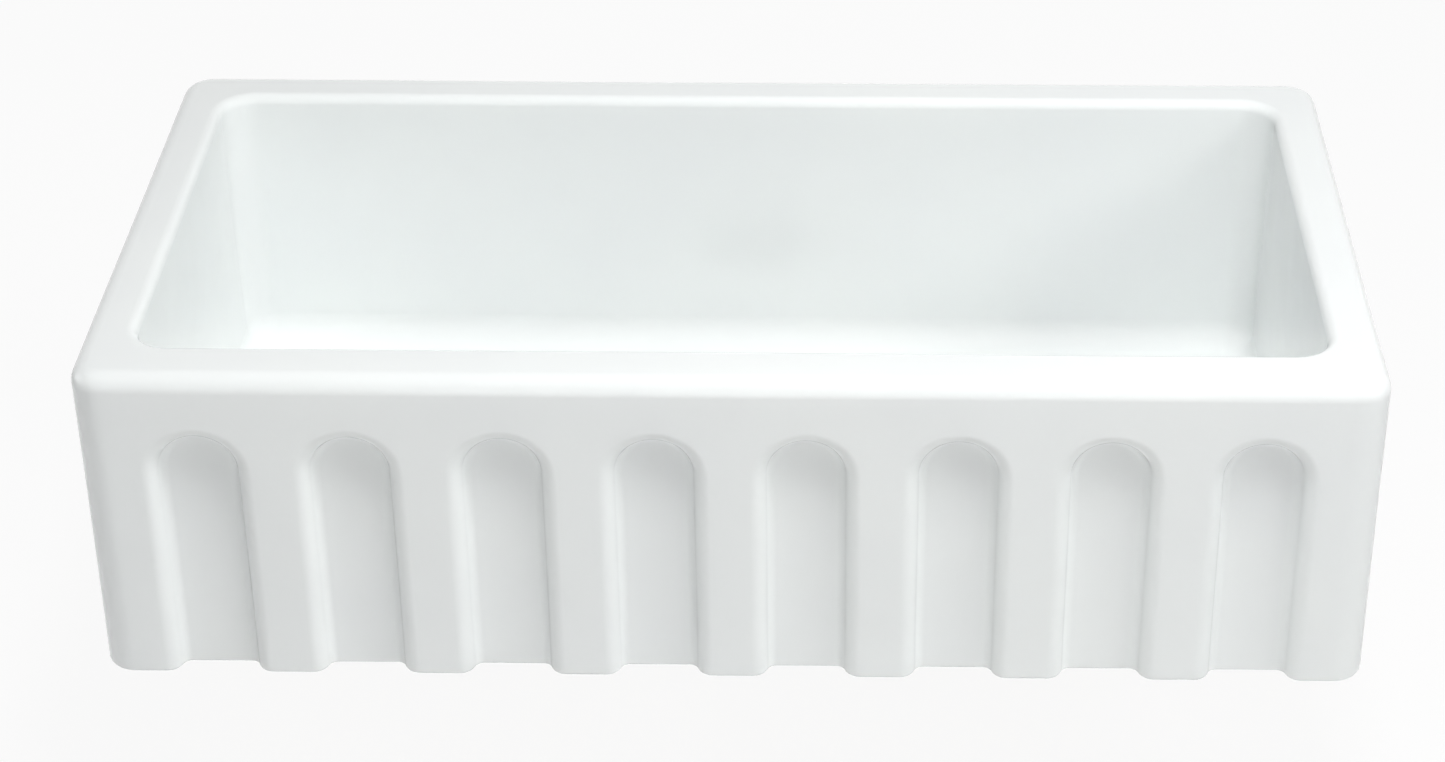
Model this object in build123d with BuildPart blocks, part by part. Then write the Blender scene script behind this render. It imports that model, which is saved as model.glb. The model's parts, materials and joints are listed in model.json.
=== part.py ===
from build123d import *
import math
import os

# Farmhouse apron front sink: a fireclay bowl with a fluted apron, and the basket strainer
# in its drain. Millimetres. The origin is on the drain axis in the plane of the base, X runs
# along the apron, Y from the apron to the wall behind it and Z up.

os.makedirs("parts", exist_ok=True)

# ---------------------------------------------------------------- driving dimensions

# fireclay block
sink_width = 914.4
sink_depth = 457.2
sink_height = 254.0
plan_corner_radius = 23.0
rim_edge_radius = 13.5
base_edge_radius = 3.0

# bowl
side_rim = 38.0
front_rim = 45.0
back_rim = 40.0
bowl_corner_radius = 26.0
bowl_lip_radius = 8.0
bowl_draft = 1.0
floor_cove_radius = 22.0
floor_level = 31.0
floor_fall = 5.0

# flutes in the apron
flute_count = 8
flute_pitch = 106.5
flute_half_width = 39.0
flute_depth = 12.5
flute_lip_radius = 12.0
flute_cove_radius = 6.5
flute_flank_angle = 70.0
flute_spring_height = 174.0

# underside
foot_band = 34.0
underside_corner_radius = 30.0
underside_recess = 6.0
drain_boss_radius = 68.0
drain_boss_relief = 2.0

# drain opening in the fireclay
drain_hole_radius = 45.0
flange_seat_radius = 59.0
flange_seat_depth = 3.0

# strainer cup and the nut that clamps it
cup_flange_radius = 57.0
cup_inner_radius = 41.0
cup_thread_radius = 43.0
cup_shoulder_radius = 36.0
cup_sheet = 1.6
throat_drop = 5.5
shoulder_rise = 5.0
chamber_depth = 12.0
spigot_length = 26.0
spider_drop = 8.0
outlet_inner_radius = 20.5
outlet_thread_radius = 23.7
seal_thickness = 1.5
gasket_thickness = 5.0
friction_thickness = 1.0
nut_height = 12.0
nut_radius = 49.0
nut_flange_radius = 54.0
nut_lugs = 6
nut_to_shoulder = 3.0
thread_gap = 0.15
close_gap = 0.05

# basket
basket_sheet = 0.8
basket_rim_radius = 41.0
basket_roll = 1.2
basket_base_radius = 32.0
floor_holes = [(14.0, 10), (23.0, 16)]
hole_radius = 2.0
slot_rows = 2
slots_per_row = 20
slot_width = 2.4
slot_height = 11.0
collar_radius = 6.2
collar_step = 1.0
clip_wire = 0.7

# stopper and its stem
stem_radius = 3.0
stem_nut_flats = 10.0
stem_groove = 0.4
running_gap = 0.08
stopper_travel = 6.5
stopper_radius = 30.5
knob_radius = 12.0

# tailpiece and its coupling
tail_radius = 19.05
tail_wall = 1.1
tail_length = 101.6
tail_flange_radius = 23.0
coupling_flats = 56.0

# ---------------------------------------------------------------- levels worked out from them

front_face = -sink_depth / 2
drain_floor = floor_level - floor_fall
flange_seat = drain_floor - flange_seat_depth

flange_bottom = flange_seat + seal_thickness
throat_top = drain_floor - throat_drop
gasket_bottom = drain_boss_relief - gasket_thickness
nut_top = gasket_bottom - friction_thickness
nut_bottom = nut_top - nut_height
shoulder_level = nut_bottom - nut_to_shoulder
chamber_floor = shoulder_level - chamber_depth
outlet_end = chamber_floor - spigot_length
spider_top = chamber_floor - spider_drop
cut_margin = 5.0


def ring(inner, outer, bottom, height):
    """A flat ring about the drain axis."""
    with BuildPart() as piece:
        with BuildSketch(Plane.XY.offset(bottom)):
            Circle(outer)
            Circle(inner, mode=Mode.SUBTRACT)
        extrude(amount=height)
    return piece.part


# ---------------------------------------------------------------- fireclay bowl

bowl_width = sink_width - 2 * side_rim
bowl_length = sink_depth - front_rim - back_rim
bowl_centre = (front_rim - back_rim) / 2

# space inside the bowl: drafted walls, coved into a floor that falls to the drain
with BuildPart() as bowl_space:
    with BuildSketch(Plane.XY.offset(sink_height)):
        with Locations((0, bowl_centre)):
            RectangleRounded(bowl_width, bowl_length, bowl_corner_radius)
    extrude(amount=floor_level - sink_height, taper=bowl_draft)
    fillet(bowl_space.faces().sort_by(Axis.Z)[0].edges(), floor_cove_radius)
    flat_floor = bowl_space.faces().sort_by(Axis.Z)[0].bounding_box()
    with BuildSketch(Plane.XY.offset(floor_level)) as floor_outline:
        with Locations((0, bowl_centre)):
            Rectangle(flat_floor.size.X, flat_floor.size.Y)
    loft([floor_outline.sketch.face(), Vertex(0, 0, drain_floor)])

# one flute: its section is a convex lip, a flank and a cove; the head is that section turned
# half round about the spring point, and the shaft runs down past the base
flank_turn = math.radians(flute_flank_angle)
flute_radii = flute_lip_radius + flute_cove_radius
flank_length = (flute_depth - flute_radii * (1 - math.cos(flank_turn))) / math.sin(flank_turn)

with BuildPart() as flute_space:
    spring = Plane((0, front_face, flute_spring_height))
    with BuildSketch(spring) as flute_half:
        with BuildLine():
            lip = JernArc((flute_half_width, 0), (-1, 0), flute_lip_radius, -flute_flank_angle)
            flank = PolarLine(lip @ 1, flank_length, direction=lip % 1)
            cove = JernArc(flank @ 1, flank % 1, flute_cove_radius, flute_flank_angle)
            Polyline(
                cove @ 1,
                (0, flute_depth),
                (0, -cut_margin),
                (flute_half_width, -cut_margin),
                (flute_half_width, 0),
            )
        make_face()
    revolve(axis=Axis(spring.origin, (0, -1, 0)), revolution_arc=180)
    extrude(flute_half.sketch, amount=-flute_spring_height - cut_margin)
    mirror(about=Plane.YZ)

with BuildPart() as sink_body:
    with BuildSketch():
        RectangleRounded(sink_width, sink_depth, plan_corner_radius)
    extrude(amount=sink_height)
    fillet(sink_body.faces().sort_by(Axis.Z)[-1].edges(), rim_edge_radius)
    with GridLocations(flute_pitch, 0, flute_count, 1):
        add(flute_space.part, mode=Mode.SUBTRACT)
    fillet(sink_body.faces().sort_by(Axis.Z)[0].edges(), base_edge_radius)
    add(bowl_space.part, mode=Mode.SUBTRACT)
    mouth = sink_body.faces().filter_by(Axis.Z).sort_by(Axis.Z)[-1]
    fillet(mouth.inner_wires().edges(), bowl_lip_radius)
    with BuildSketch():
        RectangleRounded(
            sink_width - 2 * foot_band, sink_depth - 2 * foot_band, underside_corner_radius
        )
        Circle(drain_boss_radius, mode=Mode.SUBTRACT)
    extrude(amount=underside_recess, mode=Mode.SUBTRACT)
    with BuildSketch():
        Circle(drain_boss_radius)
    extrude(amount=drain_boss_relief, mode=Mode.SUBTRACT)
    with Locations((0, 0, floor_level)):
        CounterBoreHole(drain_hole_radius, flange_seat_radius, floor_level - flange_seat)
sink_body.part.label = "sink_body"
export_step(sink_body.part, "parts/sink_body.step")


# ---------------------------------------------------------------- strainer cup and its fixings

# foam ring between the flange and the glaze
seal_bore = drain_hole_radius + 1.5
seal_edge = cup_flange_radius - 0.5
with BuildPart() as flange_seal:
    add(ring(seal_bore, seal_edge, flange_seat, seal_thickness))
flange_seal.part.label = "flange_seal"
export_step(flange_seal.part, "parts/flange_seal.step")

# pressed cup: sloped flange, straight throat, shoulder, stopper chamber and outlet spigot
flange_edge = flange_bottom + 1.0
flange_crown = flange_bottom + 1.6
flange_land = 9.0
mouth_radius = cup_inner_radius + 3.5
mouth_level = flange_bottom + 0.4
neck_radius = cup_inner_radius + 4.8
shoulder_sheet = 0.8
with BuildPart() as strainer_cup:
    with BuildSketch(Plane.XZ):
        with BuildLine():
            Polyline(
                (cup_flange_radius, flange_bottom),
                (cup_flange_radius, flange_edge),
                (cup_flange_radius - flange_land, flange_crown),
                (mouth_radius, mouth_level),
                (cup_inner_radius, throat_top),
                (cup_inner_radius, shoulder_level + shoulder_rise),
                (cup_shoulder_radius, shoulder_level),
                (cup_shoulder_radius, chamber_floor),
                (outlet_inner_radius, chamber_floor),
                (outlet_inner_radius, outlet_end),
                (outlet_thread_radius, outlet_end),
                (outlet_thread_radius, chamber_floor - cup_sheet),
                (cup_shoulder_radius + cup_sheet, chamber_floor - cup_sheet),
                (cup_shoulder_radius + cup_sheet, shoulder_level - shoulder_sheet),
                (cup_thread_radius, shoulder_level + shoulder_rise - shoulder_sheet),
                (cup_thread_radius, throat_top),
                (neck_radius, flange_bottom),
                close=True,
            )
        make_face()
    revolve(axis=Axis.Z)
strainer_cup.part.label = "strainer_cup"
export_step(strainer_cup.part, "parts/strainer_cup.step")

# cross bars pressed into the outlet, with a hub that guides the stem
spider_thickness = 3.0
spider_bar = 4.0
spider_rim = 2.0
hub_radius = 7.0
guide_radius = stem_radius + 0.4
with BuildPart() as outlet_spider:
    with BuildSketch(Plane.XY.offset(spider_top - spider_thickness)):
        Circle(outlet_inner_radius - close_gap)
        Circle(outlet_inner_radius - spider_rim, mode=Mode.SUBTRACT)
        with Locations(Rotation(0, 0, 45)):
            Rectangle(2 * outlet_inner_radius - spider_rim, spider_bar)
            Rectangle(spider_bar, 2 * outlet_inner_radius - spider_rim)
        Circle(hub_radius)
        Circle(guide_radius, mode=Mode.SUBTRACT)
    extrude(amount=spider_thickness)
outlet_spider.part.label = "outlet_spider"
export_step(outlet_spider.part, "parts/outlet_spider.step")

# rubber gasket under the fireclay and the fibre ring the nut turns on
gasket_bore = cup_thread_radius + 0.5
gasket_chamfer = 0.8
with BuildPart() as sink_gasket:
    add(ring(gasket_bore, cup_flange_radius, gasket_bottom, gasket_thickness))
    chamfer(sink_gasket.edges().filter_by(GeomType.CIRCLE).sort_by(Axis.Z)[0:2], gasket_chamfer)
sink_gasket.part.label = "sink_gasket"
export_step(sink_gasket.part, "parts/sink_gasket.step")

friction_radius = nut_flange_radius + 1.0
with BuildPart() as friction_ring:
    add(ring(gasket_bore, friction_radius, nut_top, friction_thickness))
friction_ring.part.label = "friction_ring"
export_step(friction_ring.part, "parts/friction_ring.step")

# cast nut with a bearing flange and lugs for a spanner
lug_reach = 6.0
lug_width = 9.0
lug_root = 1.0
lug_corner = 1.5
nut_flange_height = 3.0
nut_chamfer = 0.8
nut_bore = cup_thread_radius + thread_gap
with BuildPart() as locknut:
    add(ring(nut_bore, nut_radius, nut_bottom, nut_height))
    add(ring(nut_bore, nut_flange_radius, nut_top - nut_flange_height, nut_flange_height))
    with BuildSketch(Plane.XY.offset(nut_bottom)):
        with PolarLocations(nut_radius + lug_reach / 2 - lug_root, nut_lugs):
            RectangleRounded(lug_reach + 2 * lug_root, lug_width, lug_corner)
    extrude(amount=nut_height)
    chamfer(locknut.faces().sort_by(Axis.Z)[0].outer_wire().edges(), nut_chamfer)
locknut.part.label = "locknut"
export_step(locknut.part, "parts/locknut.step")


# ---------------------------------------------------------------- tailpiece and coupling

# soft washer between the spigot and the tailpiece flange
washer_thickness = 2.0
washer_bore = tail_radius - tail_wall + 0.3
tail_top = outlet_end - washer_thickness
with BuildPart() as tail_washer:
    add(ring(washer_bore, tail_flange_radius, tail_top, washer_thickness))
tail_washer.part.label = "tail_washer"
export_step(tail_washer.part, "parts/tail_washer.step")

# flanged tube that runs down to the trap, a little swollen where its flange was formed
tail_flange_thickness = 1.5
tail_neck = 5.5
tail_swell = 0.2
tail_bore = tail_radius - tail_wall
with BuildPart() as tailpiece:
    add(ring(tail_bore, tail_radius, tail_top - tail_length, tail_length))
    add(ring(tail_bore, tail_radius + tail_swell, tail_top - tail_neck, tail_neck))
    add(ring(tail_bore, tail_flange_radius, tail_top - tail_flange_thickness,
             tail_flange_thickness))
tailpiece.part.label = "tailpiece"
export_step(tailpiece.part, "parts/tailpiece.step")

# six-sided nut that pulls the flange and washer up against the spigot
coupling_thread = 11.0
coupling_lip = 2.5
coupling_bore = tail_radius + 0.4
coupling_chamfer = 1.0
coupling_seat = tail_top - tail_flange_thickness
with BuildPart() as coupling_nut:
    with BuildSketch(Plane.XY.offset(coupling_seat - coupling_lip)):
        RegularPolygon(coupling_flats / 2, 6, major_radius=False)
    extrude(amount=outlet_end + coupling_thread - coupling_seat + coupling_lip)
    with BuildSketch(Plane.XY.offset(coupling_seat)):
        Circle(outlet_thread_radius + thread_gap)
    extrude(amount=outlet_end + coupling_thread - coupling_seat, mode=Mode.SUBTRACT)
    with BuildSketch(Plane.XY.offset(coupling_seat - coupling_lip)):
        Circle(coupling_bore)
    extrude(amount=coupling_lip, mode=Mode.SUBTRACT)
    chamfer(coupling_nut.edges().filter_by(GeomType.CIRCLE).sort_by(Axis.Z)[-1], coupling_chamfer)
coupling_nut.part.label = "coupling_nut"
export_step(coupling_nut.part, "parts/coupling_nut.step")


# ---------------------------------------------------------------- basket

# perforated cup: a flared rim folded down over the throat, a tapered wall with two rows of
# slots and a flat bottom with two rings of holes
stopper_headroom = 8.0
shoulder_drop = 0.5
rim_rise = 2.7
wall_gap = 2.4
basket_corner = 1.5
corner_spread = 0.5
basket_floor = chamber_floor + stopper_travel + stopper_headroom
basket_shoulder = throat_top - shoulder_drop
rim_level = throat_top + rim_rise
wall_top_radius = cup_inner_radius - wall_gap
wall_mid_radius = (basket_base_radius + wall_top_radius) / 2
row_pitch = (basket_shoulder - basket_floor) / 2
with BuildPart() as basket_cup:
    with BuildSketch(Plane.XZ):
        with BuildLine():
            Polyline(
                (collar_radius - collar_step, basket_floor),
                (basket_base_radius - basket_corner, basket_floor),
                (basket_base_radius + corner_spread, basket_floor + basket_corner),
                (wall_top_radius, basket_shoulder),
                (basket_rim_radius, rim_level),
            )
            offset(amount=basket_sheet, side=Side.LEFT)
        make_face()
        with Locations((basket_rim_radius, rim_level)):
            RegularPolygon(basket_roll, 6)
    revolve(axis=Axis.Z)
    for row in range(slot_rows):
        with Locations((0, 0, basket_floor + row_pitch * (row + 0.5))):
            with PolarLocations(wall_mid_radius, slots_per_row):
                Box(wall_top_radius / 2, slot_width, slot_height, mode=Mode.SUBTRACT)
    for circle_radius, count in floor_holes:
        with Locations((0, 0, basket_floor)):
            with PolarLocations(circle_radius, count):
                Cylinder(hole_radius, 4 * basket_sheet, mode=Mode.SUBTRACT)
basket_cup.part.label = "basket_cup"
export_step(basket_cup.part, "parts/basket_cup.step")

# turned bush riveted in the basket's bottom: the stem slides in it, the clip sits in its mouth
collar_height = 12.0
collar_top = basket_floor + collar_height
collar_neck = collar_radius - collar_step - close_gap
collar_flange = collar_radius + 1.5
collar_seat = basket_floor + basket_sheet
flange_height = 1.0
collar_chamfer = 0.6
rivet_lip = 0.8
rivet_radius = collar_neck + 0.4
clip_pocket = 2.2
pocket_radius = stem_radius + 2 * clip_wire + 0.4
with BuildPart() as basket_collar:
    with BuildSketch(Plane.XZ):
        with BuildLine():
            Polyline(
                (stem_radius + running_gap, basket_floor - rivet_lip),
                (rivet_radius, basket_floor - rivet_lip),
                (collar_radius, basket_floor),
                (collar_neck, basket_floor),
                (collar_neck, collar_seat),
                (collar_flange, collar_seat),
                (collar_flange, collar_seat + flange_height),
                (collar_radius, collar_seat + 2 * flange_height),
                (collar_radius, collar_top - collar_chamfer),
                (collar_radius - collar_chamfer, collar_top),
                (pocket_radius, collar_top),
                (pocket_radius, collar_top - clip_pocket),
                (stem_radius + running_gap, collar_top - clip_pocket),
                close=True,
            )
        make_face()
    revolve(axis=Axis.Z)
basket_collar.part.label = "basket_collar"
export_step(basket_collar.part, "parts/basket_collar.step")

# open spring ring that snaps into either groove of the stem
clip_bore = stem_radius + 0.15
clip_level = collar_top - clip_pocket + clip_wire
clip_arc = 300
with BuildPart() as detent_clip:
    with BuildSketch(Plane.XZ):
        with Locations((clip_bore + clip_wire, clip_level)):
            Rectangle(2 * clip_wire, 2 * clip_wire)
    revolve(axis=Axis.Z, revolution_arc=clip_arc)
detent_clip.part.label = "detent_clip"
export_step(detent_clip.part, "parts/detent_clip.step")


# ---------------------------------------------------------------- stopper, stem and knob

stem_hole = stem_radius + close_gap
seal_height = 4.0
seal_bevel = 1.2

# rubber disc with a bevelled edge that lies on the chamber floor
with BuildPart() as stopper_seal:
    add(ring(stem_hole, stopper_radius, chamber_floor, seal_height))
    chamfer(stopper_seal.edges().filter_by(GeomType.CIRCLE).sort_by(SortBy.RADIUS)[-2:], seal_bevel)
stopper_seal.part.label = "stopper_seal"
export_step(stopper_seal.part, "parts/stopper_seal.step")

# pressed plate with a turned-up edge that backs the seal
plate_bottom = chamber_floor + seal_height
plate_radius = stopper_radius - 4.0
plate_thickness = 1.2
with BuildPart() as stopper_plate:
    add(ring(stem_hole, plate_radius, plate_bottom, plate_thickness))
    add(ring(plate_radius - plate_thickness, plate_radius, plate_bottom, 2 * plate_thickness))
stopper_plate.part.label = "stopper_plate"
export_step(stopper_plate.part, "parts/stopper_plate.step")

# washer and nut that hold seal and plate on the stem
retainer_thickness = 1.2
with BuildPart() as seal_washer:
    add(ring(stem_hole, 3 * stem_radius, chamber_floor - retainer_thickness, retainer_thickness))
seal_washer.part.label = "seal_washer"
export_step(seal_washer.part, "parts/seal_washer.step")

# split spring washer under the nut
lock_thickness = 1.0
lock_split = 0.5
lock_slant = 30
lock_top = chamber_floor - retainer_thickness
with BuildPart() as lock_washer:
    add(ring(stem_hole, 1.8 * stem_radius, lock_top - lock_thickness, lock_thickness))
    split = Location((0, 1.5 * stem_radius, lock_top - lock_thickness / 2), (0, lock_slant, 0))
    with Locations(split):
        Box(lock_split, 2 * stem_radius, 4 * lock_thickness, mode=Mode.SUBTRACT)
lock_washer.part.label = "lock_washer"
export_step(lock_washer.part, "parts/lock_washer.step")

stem_nut_height = 4.0
stem_nut_top = lock_top - lock_thickness
with BuildPart() as stem_nut:
    with BuildSketch(Plane.XY.offset(stem_nut_top - stem_nut_height)):
        RegularPolygon(stem_nut_flats / 2, 6, major_radius=False)
        Circle(stem_hole, mode=Mode.SUBTRACT)
    extrude(amount=stem_nut_height)
stem_nut.part.label = "stem_nut"
export_step(stem_nut.part, "parts/stem_nut.step")

# stem with a pointed tip in the spider's hub and a groove for each position of the stopper
stem_tip = spider_top - spider_thickness - stopper_travel
stem_top = throat_top - 6.0
tip_chamfer = 1.2
with BuildPart() as stem:
    with Locations((0, 0, stem_tip)):
        Cylinder(stem_radius, stem_top - stem_tip, align=(Align.CENTER, Align.CENTER, Align.MIN))
    chamfer(stem.edges().sort_by(Axis.Z)[0], tip_chamfer)
    with BuildSketch(Plane.XZ):
        with Locations((stem_radius, clip_level), (stem_radius, clip_level - stopper_travel)):
            Rectangle(2 * stem_groove, 2 * clip_wire)
    revolve(axis=Axis.Z, mode=Mode.SUBTRACT)
stem.part.label = "stem"
export_step(stem.part, "parts/stem.step")

# moulded knob: a waist for the fingers under a crowned top
knob_bottom = collar_top + stopper_travel
knob_top = drain_floor - 1.0
knob_foot = 0.55 * knob_radius
knob_waist = 0.42 * knob_radius
knob_neck = 0.48 * knob_radius
knob_flare = 0.70 * knob_radius
knob_edge = 0.95 * knob_radius
waist_level = knob_bottom + 6.0
neck_level = knob_top - 9.0
flare_level = knob_top - 7.0
edge_level = knob_top - 5.5
head_level = knob_top - 4.5
end_gap = 0.2
knob_crown = 2.0
crown_radius = (knob_radius**2 + knob_crown**2) / (2 * knob_crown)
with BuildPart() as knob:
    with BuildSketch(Plane.XZ):
        with BuildLine():
            side = Polyline(
                (0, knob_bottom),
                (knob_foot, knob_bottom),
                (knob_waist, waist_level),
                (knob_neck, neck_level),
                (knob_flare, flare_level),
                (knob_edge, edge_level),
                (knob_radius, head_level),
                (knob_radius, knob_top - knob_crown),
            )
            crown = RadiusArc(side @ 1, (0, knob_top), -crown_radius)
            Line(crown @ 1, side @ 0)
        make_face()
    revolve(axis=Axis.Z)
    with Locations((0, 0, knob_bottom)):
        Cylinder(stem_hole, stem_top - knob_bottom + end_gap,
                 align=(Align.CENTER, Align.CENTER, Align.MIN), mode=Mode.SUBTRACT)
knob.part.label = "knob"
export_step(knob.part, "parts/knob.step")
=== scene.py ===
import json
import math

import bmesh
import bpy
import numpy as np
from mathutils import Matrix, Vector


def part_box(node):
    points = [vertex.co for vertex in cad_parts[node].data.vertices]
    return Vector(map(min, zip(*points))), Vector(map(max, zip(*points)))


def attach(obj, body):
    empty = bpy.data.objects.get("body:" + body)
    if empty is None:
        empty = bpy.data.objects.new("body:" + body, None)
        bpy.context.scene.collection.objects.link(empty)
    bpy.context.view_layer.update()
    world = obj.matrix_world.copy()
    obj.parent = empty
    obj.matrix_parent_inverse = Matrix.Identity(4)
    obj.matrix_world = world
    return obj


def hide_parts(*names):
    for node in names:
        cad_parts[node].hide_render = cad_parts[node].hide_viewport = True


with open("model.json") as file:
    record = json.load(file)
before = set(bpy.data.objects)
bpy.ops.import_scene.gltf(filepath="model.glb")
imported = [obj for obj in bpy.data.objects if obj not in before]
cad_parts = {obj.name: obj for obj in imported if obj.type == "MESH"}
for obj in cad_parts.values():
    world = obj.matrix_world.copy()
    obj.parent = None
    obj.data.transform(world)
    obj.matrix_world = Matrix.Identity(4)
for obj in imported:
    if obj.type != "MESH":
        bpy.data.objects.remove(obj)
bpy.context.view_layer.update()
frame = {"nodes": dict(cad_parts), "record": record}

# Farmhouse apron front sink in white glazed fireclay, with the basket strainer in its drain.
# Metres, in the frame's own axes: X along the apron, Y towards the wall behind, Z up.

MM = 0.001
HALF_WIDTH, HALF_DEPTH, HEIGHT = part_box("sink_body")[1]
# the floor lies just clear of the tailpiece's end
FLOOR_GAP = 0.5 * MM
FLOOR_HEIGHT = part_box("tailpiece")[0][2] - FLOOR_GAP

# ---------------------------------------------------------------- camera, as the photograph's

IMAGE_WIDTH, IMAGE_HEIGHT = 1445, 762
FOCAL_PIXELS = 3078.0
AXIS_PIXEL_X, AXIS_PIXEL_Y = 808.9, 231.9
# where it stands, in metres, and how far it looks down and turns left, in degrees
CAMERA_PLACE = (0.08098, -1.99575, 1.40113)
CAMERA_DOWN, CAMERA_LEFT = 30.16, 0.83

camera_data = bpy.data.cameras.new("camera")
camera_data.sensor_width = 36.0
camera_data.lens = FOCAL_PIXELS / IMAGE_WIDTH * camera_data.sensor_width
camera_data.shift_x = (IMAGE_WIDTH / 2 - AXIS_PIXEL_X) / IMAGE_WIDTH
camera_data.shift_y = (AXIS_PIXEL_Y - IMAGE_HEIGHT / 2) / IMAGE_WIDTH
camera = bpy.data.objects.new("camera", camera_data)
camera.location = CAMERA_PLACE
camera.rotation_euler = (math.radians(90 - CAMERA_DOWN), 0.0, math.radians(CAMERA_LEFT))
bpy.context.scene.collection.objects.link(camera)
bpy.context.scene.camera = camera
bpy.context.scene.view_settings.view_transform = "Standard"


# ---------------------------------------------------------------- materials

def linear(code):
    """A hex sRGB colour such as "#F0F3F2" as linear RGBA."""
    srgb = np.array([int(code[i:i + 2], 16) for i in (1, 3, 5)]) / 255
    low = srgb <= 0.04045
    rgb = np.where(low, srgb / 12.92, ((srgb + 0.055) / 1.055) ** 2.4)
    return (*rgb.tolist(), 1.0)


def add(tree, kind, links=None, values=None, **settings):
    """One node: its settings, the values of its inputs and the sockets linked into them."""
    node = tree.nodes.new(kind)
    for key, value in settings.items():
        setattr(node, key, value)
    for key, value in (values or {}).items():
        node.inputs[key].default_value = value
    for key, socket in (links or {}).items():
        tree.links.new(socket, node.inputs[key])
    return node


def new_material(name, **values):
    """An empty node material with one Principled shader; returns (material, tree, shader)."""
    material = bpy.data.materials.new(name)
    material.use_nodes = True
    tree = material.node_tree
    tree.nodes.clear()
    shader = add(tree, "ShaderNodeBsdfPrincipled", values=values)
    add(tree, "ShaderNodeOutputMaterial", links={"Surface": shader.outputs["BSDF"]})
    return material, tree, shader


def ramp(tree, factor, stops):
    """A colour ramp over factor, from (position, hex colour) stops."""
    node = add(tree, "ShaderNodeValToRGB", links={"Fac": factor})
    elements = node.color_ramp.elements
    while len(elements) < len(stops):
        elements.new(0.5)
    for element, (position, code) in zip(elements, stops):
        element.position = position
        element.color = linear(code)
    return node.outputs["Color"]


def seen_rays(tree):
    """1 for rays from the camera, a mirror or glass, which see the background, and 0 for the
    rest, which carry light."""
    path = add(tree, "ShaderNodeLightPath")
    seen = add(tree, "ShaderNodeMath", operation="MAXIMUM",
               links={0: path.outputs["Is Camera Ray"], 1: path.outputs["Is Glossy Ray"]})
    seen = add(tree, "ShaderNodeMath", operation="MAXIMUM",
               links={0: seen.outputs["Value"], 1: path.outputs["Is Transmission Ray"]})
    return seen.outputs["Value"]


def glazed_fireclay():
    """White fireclay under a thick clear-looking gloss glaze, fired in one piece: a very even
    cool white, with a slow waviness that bends reflections and a little orange peel."""
    material, tree, shader = new_material(
        "glazed_fireclay", **{"Roughness": 0.35, "Specular IOR Level": 0.0, "IOR": 1.5,
                              "Coat Weight": 1.0, "Coat Roughness": 0.08, "Coat IOR": 1.52})
    place = add(tree, "ShaderNodeTexCoord").outputs["Object"]
    cloud = add(tree, "ShaderNodeTexNoise", links={"Vector": place},
                values={"Scale": 1 / (180 * MM), "Detail": 2.0, "Roughness": 0.5})
    shade = ramp(tree, cloud.outputs["Fac"], [(0.3, "#F2F5F5"), (0.7, "#F5F8F7")])
    tree.links.new(shade, shader.inputs["Base Color"])
    wave = add(tree, "ShaderNodeTexNoise", links={"Vector": place},
               values={"Scale": 1 / (45 * MM), "Detail": 1.0, "Roughness": 0.4})
    peel = add(tree, "ShaderNodeTexNoise", links={"Vector": place},
               values={"Scale": 1 / (5 * MM), "Detail": 2.0, "Roughness": 0.5})
    slow = add(tree, "ShaderNodeBump", links={"Height": wave.outputs["Fac"]},
               values={"Strength": 0.35, "Distance": 0.6 * MM})
    fine = add(tree, "ShaderNodeBump",
               links={"Height": peel.outputs["Fac"], "Normal": slow.outputs["Normal"]},
               values={"Strength": 0.12, "Distance": 0.08 * MM})
    tree.links.new(fine.outputs["Normal"], shader.inputs["Coat Normal"])
    tree.links.new(slow.outputs["Normal"], shader.inputs["Normal"])
    return material


def bare_fireclay():
    """Unglazed fired clay on the foot and under the bowl: warm off-white, matt and gritty."""
    material, tree, shader = new_material("bare_fireclay", **{"Roughness": 0.9, "IOR": 1.5})
    place = add(tree, "ShaderNodeTexCoord").outputs["Object"]
    grit = add(tree, "ShaderNodeTexNoise", links={"Vector": place},
               values={"Scale": 1 / (1.6 * MM), "Detail": 4.0, "Roughness": 0.65})
    cloud = add(tree, "ShaderNodeTexNoise", links={"Vector": place},
                values={"Scale": 1 / (60 * MM), "Detail": 3.0})
    mixed = add(tree, "ShaderNodeMath", operation="MULTIPLY",
                links={0: grit.outputs["Fac"], 1: cloud.outputs["Fac"]})
    shade = ramp(tree, mixed.outputs["Value"], [(0.1, "#BFB3A1"), (0.35, "#DCD4C6")])
    tree.links.new(shade, shader.inputs["Base Color"])
    bump = add(tree, "ShaderNodeBump", links={"Height": grit.outputs["Fac"]},
               values={"Strength": 0.6, "Distance": 0.25 * MM})
    tree.links.new(bump.outputs["Normal"], shader.inputs["Normal"])
    return material


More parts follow.
